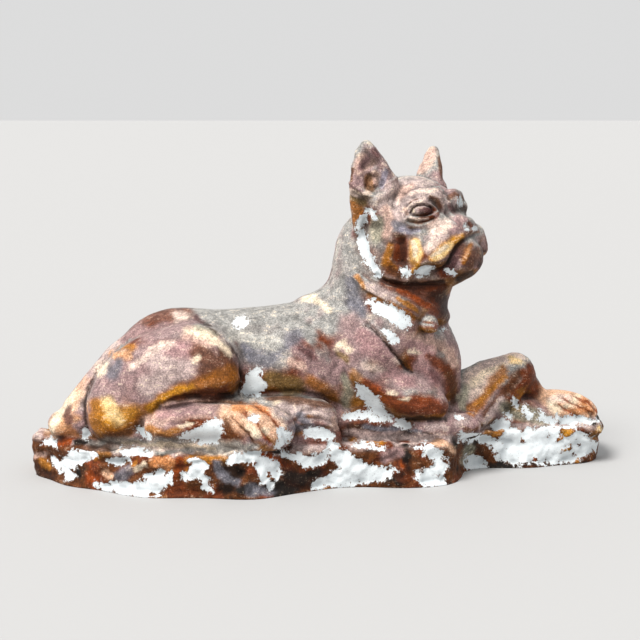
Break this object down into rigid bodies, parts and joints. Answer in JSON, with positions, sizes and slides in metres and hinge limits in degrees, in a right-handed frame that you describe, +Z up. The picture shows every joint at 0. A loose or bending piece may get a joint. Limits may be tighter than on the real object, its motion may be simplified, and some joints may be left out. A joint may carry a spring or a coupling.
{
  "type": "plaster dog statue",
  "caption": "Painted plaster bulldog lying on a flat rock, cast in one piece, head turned to its right and one foreleg stretched forward.",
  "frame": {"origin": "middle of the bounding rectangle of the flat underside", "axes": "+X from the rump to the stretched forepaw, +Y to the dog's left, +Z up"},
  "size_m": [0.5284, 0.2064, 0.3005],
  "materials": {
    "painted_plaster": "worn brown and ochre paint over white plaster, slightly glossy where it is left"
  },
  "bodies": {
    "root": {"dog_statue": "painted_plaster"}
  },
  "joints": []
}
